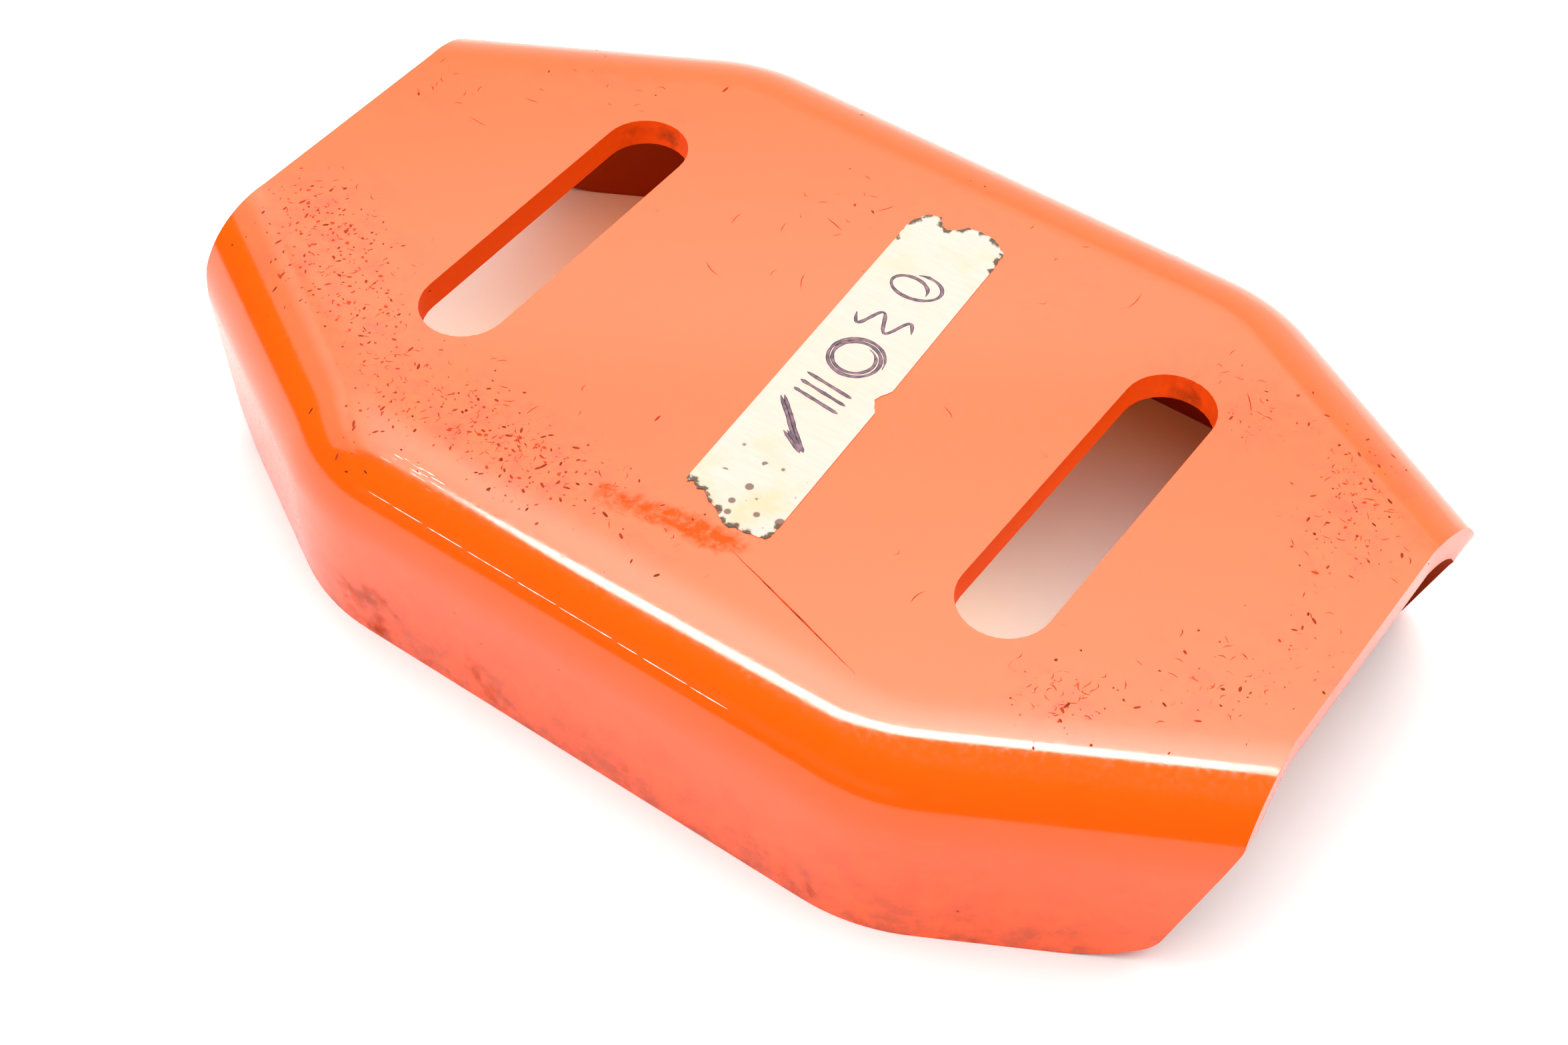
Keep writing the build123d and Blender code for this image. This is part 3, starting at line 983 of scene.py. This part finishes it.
paper_colour = add_node(tree, "ShaderNodeMix", {
    0: share, 6: paper_colour, 7: srgb("#4a2208"),
}, data_type="RGBA").outputs[2]
paper_bump = add_node(tree, "ShaderNodeBump", {
    "Strength": 0.5, "Distance": 0.03 * MM, "Height": fibre.outputs["Fac"],
})
set_inputs(tree, shader, {
    "Base Color": paper_colour, "Roughness": 0.72, "IOR": 1.45, "Normal": paper_bump.outputs[0],
})
run_tree(tape, crepe_tree, {
    "Ridge Spacing": 0.6 * MM, "Ridge Height": 0.035 * MM, "Turn": -TAPE_TURN, "Finish": paper,
})
tape_top = max(v.co.z for v in tape.data.vertices) / MM
print(f"tape top {tape_top:.3f} mm")

# %% [markdown]
# ## Lines drawn by a pen or a scratch
# A ballpoint's line and a scratch both follow a path, and at this size a thin raised thread in the right
# colour stands for either. One Geometry Nodes tree makes them all: it resamples the path evenly, thins it
# towards its ends, and sweeps a flattened round wire along it. The pen left marks in a row on the tape,
# which here are plain ticks and scribbles.

# %% Tree that draws lines
line_tree, given, out = new_tree("drawn lines", {
    "Line Width": FLOAT, "Line Height": FLOAT, "Step": FLOAT, "Taper": FLOAT, "Finish": MATERIAL,
})
strokes = add_node(line_tree, "GeometryNodeMeshToCurve", {"Mesh": given.outputs["Geometry"]})
even = add_node(line_tree, "GeometryNodeResampleCurve", {
    "Curve": strokes.outputs[0], "Length": given.outputs["Step"],
}, mode="LENGTH")
share = add_node(line_tree, "GeometryNodeSplineParameter").outputs["Factor"]
still_to_go = add_node(line_tree, "ShaderNodeMath", {0: 1.0, 1: share}, operation="SUBTRACT").outputs[0]
from_end = add_node(line_tree, "ShaderNodeMath", {0: share, 1: still_to_go}, operation="MINIMUM")
thinned = add_node(line_tree, "ShaderNodeMapRange", {
    "Value": from_end.outputs[0], "From Max": given.outputs["Taper"], "To Min": 0.25,
})
pressure = add_node(line_tree, "ShaderNodeTexNoise", {"Scale": per(1.4), "Detail": 1.0})
uneven = add_node(line_tree, "ShaderNodeMapRange", {
    "Value": pressure.outputs["Fac"], "From Min": 0.3, "From Max": 0.7, "To Min": 0.7, "To Max": 1.15,
})
thickness = add_node(line_tree, "ShaderNodeMath", {
    0: thinned.outputs[0], 1: uneven.outputs[0],
}, operation="MULTIPLY").outputs[0]
upright = add_node(line_tree, "GeometryNodeSetCurveNormal", {"Curve": even.outputs[0]}, mode="Z_UP")
round_wire = add_node(line_tree, "GeometryNodeCurvePrimitiveCircle", {"Resolution": 6, "Radius": 0.5})
flattened = add_node(line_tree, "ShaderNodeCombineXYZ", {
    "X": given.outputs["Line Width"], "Y": given.outputs["Line Height"], "Z": 1.0,
})
section = add_node(line_tree, "GeometryNodeTransform", {
    "Geometry": round_wire.outputs[0], "Scale": flattened.outputs[0],
})
swept = add_node(line_tree, "GeometryNodeCurveToMesh", {
    "Curve": upright.outputs[0], "Profile Curve": section.outputs[0], "Scale": thickness, "Fill Caps": True,
})
real = add_node(line_tree, "GeometryNodeRealizeInstances", {0: swept.outputs[0]})
finished = add_node(line_tree, "GeometryNodeSetMaterial", {
    "Geometry": real.outputs[0], "Material": given.outputs["Finish"],
})
line_tree.links.new(finished.outputs[0], out.inputs[0])


def draw_lines(name, paths, values):
    """Makes one piece from several paths of points in metres."""
    mesh = bpy.data.meshes.new(name)
    verts = [p for path in paths for p in path]
    edges, first = [], 0
    for path in paths:
        edges += [(first + i, first + i + 1) for i in range(len(path) - 1)]
        first += len(path)
    mesh.from_pydata(verts, edges, [])
    return run_tree(make_object(name, mesh), line_tree, values)


print("line tree", len(line_tree.nodes), "nodes")

# %% Pen marks on the tape
INK_HEIGHT = 0.008


def pen(shape, count):
    """A stroke on the tape from a function of 0 to 1 that gives across and along in millimetres."""
    height = tape_top - TOP + INK_HEIGHT / 2
    return [on_web(*shape(i / (count - 1)), height) for i in range(count)]


def wobble(t, seed):
    return 0.12 * noise.noise(Vector((t * 5, seed, 0.5)))


def tick(t):
    if t < 0.3:
        return -1.0 + 3.4 * t / 0.3, -11.5 - 2.0 * t / 0.3 + wobble(t, 1)
    return 2.4 - 6.6 * (t - 0.3) / 0.7, -13.5 + 6.5 * (t - 0.3) / 0.7 + wobble(t, 2)


def second_tick(t):
    """The tick again, as the pen went over it a little to one side."""
    across, along_tape = tick(t)
    return across + 0.35, along_tape + 0.25


def coil(t):
    turn = math.tau * 2.2 * t
    return (3.6 - 1.2 * t) * math.cos(turn) + wobble(t, 3), 2.6 + (3.4 - 1.2 * t) * math.sin(turn)


def ripple(t):
    return 3.6 - 7.4 * t, 9.4 + 1.5 * math.sin(math.tau * 2.0 * t) + wobble(t, 4)


def hatch(offset):
    return lambda t: (3.0 - 6.6 * t + wobble(t, offset), -5.2 + offset + 1.0 * t)


def curl(t):
    turn = math.tau * 1.35 * t
    return 2.8 * math.cos(turn) - 1.0 + 2.0 * t, 15.8 + 1.9 * math.sin(turn) + 1.2 * t


ink, tree, shader = new_material("ballpoint_ink")
ink_place = add_node(tree, "ShaderNodeTexCoord").outputs["Object"]
ink_flow = add_node(tree, "ShaderNodeTexNoise", {"Vector": ink_place, "Scale": per(0.8), "Detail": 3.0})
mask = add_node(tree, "ShaderNodeMapRange", {
    "Value": ink_flow.outputs["Fac"], "From Min": 0.4, "From Max": 0.65,
}).outputs[0]
ink_colour = add_node(tree, "ShaderNodeMix", {
    0: mask, 6: srgb("#2e1526"), 7: srgb("#6b4450"),
}, data_type="RGBA").outputs[2]
set_inputs(tree, shader, {"Base Color": ink_colour, "Roughness": 0.45, "IOR": 1.5})
strokes = [pen(tick, 30), pen(second_tick, 30)]
strokes += [pen(hatch(offset), 16) for offset in (-0.9, 0.6, 2.0)]
strokes += [pen(coil, 70), pen(ripple, 50), pen(curl, 50)]
pen_marks = draw_lines("pen_marks", strokes, {
    "Line Width": 0.48 * MM, "Line Height": INK_HEIGHT * MM, "Step": 0.25 * MM, "Taper": 0.06, "Finish": ink,
})
print("pen marks", len(pen_marks.data.polygons), "faces")

# %% [markdown]
# ## Scratches and the line left by the press tool
# One long scratch runs from the tape towards the bend. Short ones lie thickest where the rust is, and
# chips are small knots of them in a few groups. On the near bend the press tool left a fine raised line,
# broken where the paint flowed over it, and its top is coloured pale as a painted glint. It is only a few
# hundredths of a millimetre high, but a ridge always has some face that mirrors a lamp, so it shows as a
# bright dashed line.

# %% Scratches and tool line
def web_line(a, b, bow, seed):
    """A slightly bowed line on the web between two points in millimetres."""
    count = max(6, round(math.dist(a, b) / 0.8))
    side = Vector((a[1] - b[1], b[0] - a[0])).normalized()
    line = []
    for i in range(count + 1):
        t = i / count
        shift = bow * math.sin(math.pi * t) + 0.06 * noise.noise(Vector((t * count * 0.4, seed, 0)))
        x, y = a[0] + (b[0] - a[0]) * t + side.x * shift, a[1] + (b[1] - a[1]) * t + side.y * shift
        line.append((x * MM, y * MM, (TOP + 0.004) * MM))
    return line


def bend_line(turn_degrees, start, stop):
    """A line along the near bend at one angle round it, between two places along the shoe."""
    turn = math.radians(turn_degrees)
    y = -(HALF_WIDTH - BEND_OUTSIDE + BEND_OUTSIDE * math.sin(turn))
    z = BEND_FOOT + BEND_OUTSIDE * math.cos(turn)
    count = max(2, round((stop - start) / 0.7))
    return [((start + (stop - start) * i / count) * MM, y * MM, z * MM) for i in range(count + 1)]


def clear_of_openings(x, y):
    """Whether a spot is on the flat web, away from the slots and the tape."""
    off_tape = abs(x - TAPE_X) > 9.5 or abs(y) > 30
    return abs(x) < WEB_END - 1 and abs(y) < path_edge(abs(x)) and not in_slot(x, y, 1) and off_tape


def short_scratch(x, y, longest, seed):
    direction, reach = rng.uniform(0, math.pi), rng.uniform(0.4, longest)
    end = (x + reach * math.cos(direction), y + reach * math.sin(direction))
    clear = clear_of_openings(x, y) and clear_of_openings(*end)
    return [web_line((x, y), end, rng.uniform(-0.25, 0.25), seed)] if clear else []


scratch_paths = [web_line((10, -29), (31, -35), shift, 1) for shift in (0.0, 0.09)]
for i in range(40):
    scratch_paths += short_scratch(rng.uniform(-68, 68), rng.uniform(-32, 32), 3.2, i)
for i in range(1000):
    x, y, _, radius, strength = rng.choice(RUST_DABS)
    if rng.random() < strength:
        scratch_paths += short_scratch(x + rng.gauss(0, radius * 0.6), y + rng.gauss(0, radius * 0.6), 1.2, i)

# Each group of chips: its middle, how far it scatters, how many chips it has and how wide they are.
KNOT_STROKES = 5
CHIP_GROUPS = [(51, -26, 2, 7, 1.1), (-18, -31, 4, 7, 0.7), (31, 3, 2, 3, 0.9), (-29, 9, 1, 2, 0.7)]
for group_x, group_y, scatter, how_many, across in CHIP_GROUPS:
    for _ in range(how_many):
        x, y = group_x + rng.gauss(0, scatter), group_y + rng.gauss(0, scatter / 2)
        for i in range(KNOT_STROKES):
            start = (x + rng.gauss(0, 0.2), y + rng.gauss(0, 0.2))
            end = (start[0] + rng.gauss(0, across * 0.4), start[1] + rng.gauss(0, across * 0.4))
            if clear_of_openings(*start) and clear_of_openings(*end):
                scratch_paths.append(web_line(start, end, rng.uniform(-0.2, 0.2), i))

# %% Finishes of the scratches and the tool line
# A cut shows darker, rusty steel below the film. The tool line is coloured pale, nearly white, as a painted
# glint.
cut, tree, shader = new_material("cut_through_enamel")
cut_place = add_node(tree, "ShaderNodeTexCoord").outputs["Object"]
cut_depth = add_node(tree, "ShaderNodeTexNoise", {"Vector": cut_place, "Scale": per(2.0), "Detail": 3.0})
mask = add_node(tree, "ShaderNodeMapRange", {
    "Value": cut_depth.outputs["Fac"], "From Min": 0.35, "From Max": 0.6,
}).outputs[0]
cut_colour = add_node(tree, "ShaderNodeMix", {
    0: mask, 6: srgb("#6e2207"), 7: srgb("#bb410f"),
}, data_type="RGBA").outputs[2]
set_inputs(tree, shader, {"Base Color": cut_colour, "Specular IOR Level": 0.08, "Roughness": 0.8})
scratches = draw_lines("scratches", scratch_paths, {
    "Line Width": 0.14 * MM, "Line Height": 0.012 * MM, "Step": 0.4 * MM, "Taper": 0.3, "Finish": cut,
})

# Painted glint: the tool line's ridge is coloured pale, near white.
painted_glint, tree, shader = new_material("enamel_painted_glint")
glint_place = add_node(tree, "ShaderNodeTexCoord").outputs["Object"]
glint_break = add_node(tree, "ShaderNodeTexNoise", {"Vector": glint_place, "Scale": per(1.0), "Detail": 3.0})
mask = add_node(tree, "ShaderNodeMapRange", {
    "Value": glint_break.outputs["Fac"], "From Min": 0.4, "From Max": 0.6,
}).outputs[0]
glint_colour = add_node(tree, "ShaderNodeMix", {
    0: mask, 6: srgb("#e9a183"), 7: srgb("#f4e2d8"),
}, data_type="RGBA").outputs[2]
set_inputs(tree, shader, {"Base Color": glint_colour, "Roughness": 0.35, "IOR": 1.5})
LINE_START, LINE_END = -30.0, 21
dashes, at = [], LINE_START
while at < LINE_END:
    reach = rng.uniform(1.5, 8)
    dashes.append(bend_line(51 + 0.05 * (at - LINE_START), at, min(at + reach, LINE_END)))
    at += reach + rng.uniform(0.2, 0.9)
for i in range(16):
    start = rng.uniform(-34, -22)
    dashes.append(bend_line(rng.gauss(27, 3), start, start + rng.uniform(0.6, 2.5)))
tool_line = draw_lines("tool_line", dashes, {
    "Line Width": 0.13 * MM, "Line Height": 0.03 * MM, "Step": 0.5 * MM, "Taper": 0.1, "Finish": painted_glint,
})
print("scratches", len(scratch_paths), "dashes", len(dashes))

# %% [markdown]
# ## Putting each piece on the body
# Every piece rides on the one body, and the two CAD nodes that the shoe and the tape are made again from
# are hidden.

# %% Ride on the frame
for piece in (shoe, tape, specks, pen_marks, scratches, tool_line):
    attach(piece, "root")
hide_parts("skid_shoe")
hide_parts("tape_label")

# %% [markdown]
# ## Floor, light and camera
# The shoe lies on white card. Gloss paint shows two things at once: light that has soaked into the film
# and come back coloured, and mirror images of the lamps. They are easier to set apart, so each lamp does
# only one. The ceiling box, the back and left walls, the window and the strip are seen only in the gloss:
# they whiten the web and draw the white line along the bend. The key and the front fill only light the
# matt part. That is a shortcut that real lamps don't have, but it keeps the bend's deep orange band.
# Under each slot two small warm lamps stand for light that bounces about between the card and the steel.

# %% Floor
card, tree, shader = new_material("white_card")
card_place = add_node(tree, "ShaderNodeTexCoord").outputs["Object"]
card_grain = add_node(tree, "ShaderNodeTexNoise", {"Vector": card_place, "Scale": per(6), "Detail": 4.0})
card_colour = add_node(tree, "ShaderNodeMix", {
    0: card_grain.outputs["Fac"], 6: srgb("#e4e3e1"), 7: srgb("#e8e7e5"),
}, data_type="RGBA").outputs[2]
set_inputs(tree, shader, {"Base Color": card_colour, "Roughness": 0.9})
FLOOR_HALF = 3.0
floor_mesh = bpy.data.meshes.new("floor")
corners = [(-1, -1), (1, -1), (1, 1), (-1, 1)]
floor_points = [(x * FLOOR_HALF, y * FLOOR_HALF, -0.02 * MM) for x, y in corners]
floor_mesh.from_pydata(floor_points, [], [(0, 1, 2, 3)])
floor_mesh.materials.append(card)
floor = make_object("floor", floor_mesh)
print("floor", FLOOR_HALF * 2, "m across")

# %% Lamps
AWAY_FROM_CAMERA = math.radians(32)


def add_lamp(name, place, size, radiance, spread=180, mirrored=True, lighting=True):
    """A rectangular lamp facing down, as bright as given where it is seen square on. Sizes in metres.
    Gloss mirrors it only if mirrored, and matt surfaces are lit by it only if lighting."""
    data = bpy.data.lights.new(name, "AREA")
    data.shape = "RECTANGLE"
    data.size, data.size_y = size
    data.energy = radiance * math.pi * size[0] * size[1]
    data.spread = math.radians(spread)
    lamp = bpy.data.objects.new(name, data)
    bpy.context.scene.collection.objects.link(lamp)
    lamp.location = place
    lamp.rotation_euler = (0, 0, AWAY_FROM_CAMERA)
    lamp.visible_glossy = mirrored
    lamp.visible_diffuse = lighting
    return lamp


def aim(thing, target):
    """Turns a lamp or camera towards a point in metres."""
    thing.rotation_euler = (Vector(target) - thing.location).to_track_quat("-Z", "Y").to_euler()


add_lamp("ceiling_box", (-0.98, 0.25, 1.0), (3.4, 1.70), 3.1, spread=104, lighting=False)
add_lamp("strip", (-0.12, -0.178, 0.66), (0.64, 0.10), 24.0, lighting=False)
aim(add_lamp("back_wall", (-1.0, 1.5, 0.75), (3.4, 1.7), 1.5, lighting=False), (0, 0, 0.02))
aim(add_lamp("left_wall", (-1.7, -0.1, 1.25), (2.4, 0.7), 1.6, lighting=False), (0, 0, 0.02))
aim(add_lamp("window", (0.9, 1.2, 0.85), (1.4, 0.9), 6.0, lighting=False), (0, 0, 0.02))
aim(add_lamp("key", (0.0, 0.15, 1.1), (2.0, 2.0), 3.4, mirrored=False), (0, 0, 0.02))
aim(add_lamp("front_fill", (-0.2, -1.6, 0.45), (1.6, 0.3), 5.0, mirrored=False), (0, 0, 0.02))
for side in (-1, 1):
    glow_at = (side * SLOT_X * MM - 0.013, -0.010, 0.021)
    glow = add_lamp("glow_under_slot", glow_at, (0.016, 0.022), 2.3, spread=130, mirrored=False)
    glow.data.color = srgb("#ffd6ae")[:3]
    glow.rotation_euler = (0, 0, 0)
    bounce_at = (glow_at[0], 0.026, 0.019)
    radiance = 0.5 if side < 0 else 0.2
    bounce = add_lamp("bounce_under_slot", bounce_at, (0.03, 0.036), radiance, spread=100, mirrored=False)
    bounce.data.color = srgb("#ff9030")[:3]
    bounce.rotation_euler = (0, 0, 0)
world = bpy.data.worlds.new("bright_room")
bpy.context.scene.world = world
world.use_nodes = True
world.node_tree.nodes["Background"].inputs["Color"].default_value = srgb("#f8f8f8")
world.node_tree.nodes["Background"].inputs["Strength"].default_value = 0.3
world.cycles_visibility.glossy = False
print("lamps", len(bpy.data.lights))

# %% Camera
CAMERA_PLACE = Vector((118.25, -167.03, 235.55)) * MM
CAMERA_TARGET = Vector((12.69, -22.55, 28.0)) * MM
camera = bpy.data.objects.new("camera", bpy.data.cameras.new("camera"))
bpy.context.scene.collection.objects.link(camera)
camera.data.lens = 57.4
camera.data.sensor_width = 36.0
camera.data.clip_start = 0.01
camera.location = CAMERA_PLACE
aim(camera, CAMERA_TARGET)
bpy.context.scene.camera = camera
bpy.context.scene.view_settings.view_transform = "Standard"
print("camera", round((CAMERA_PLACE - CAMERA_TARGET).length, 3), "m from what it looks at")
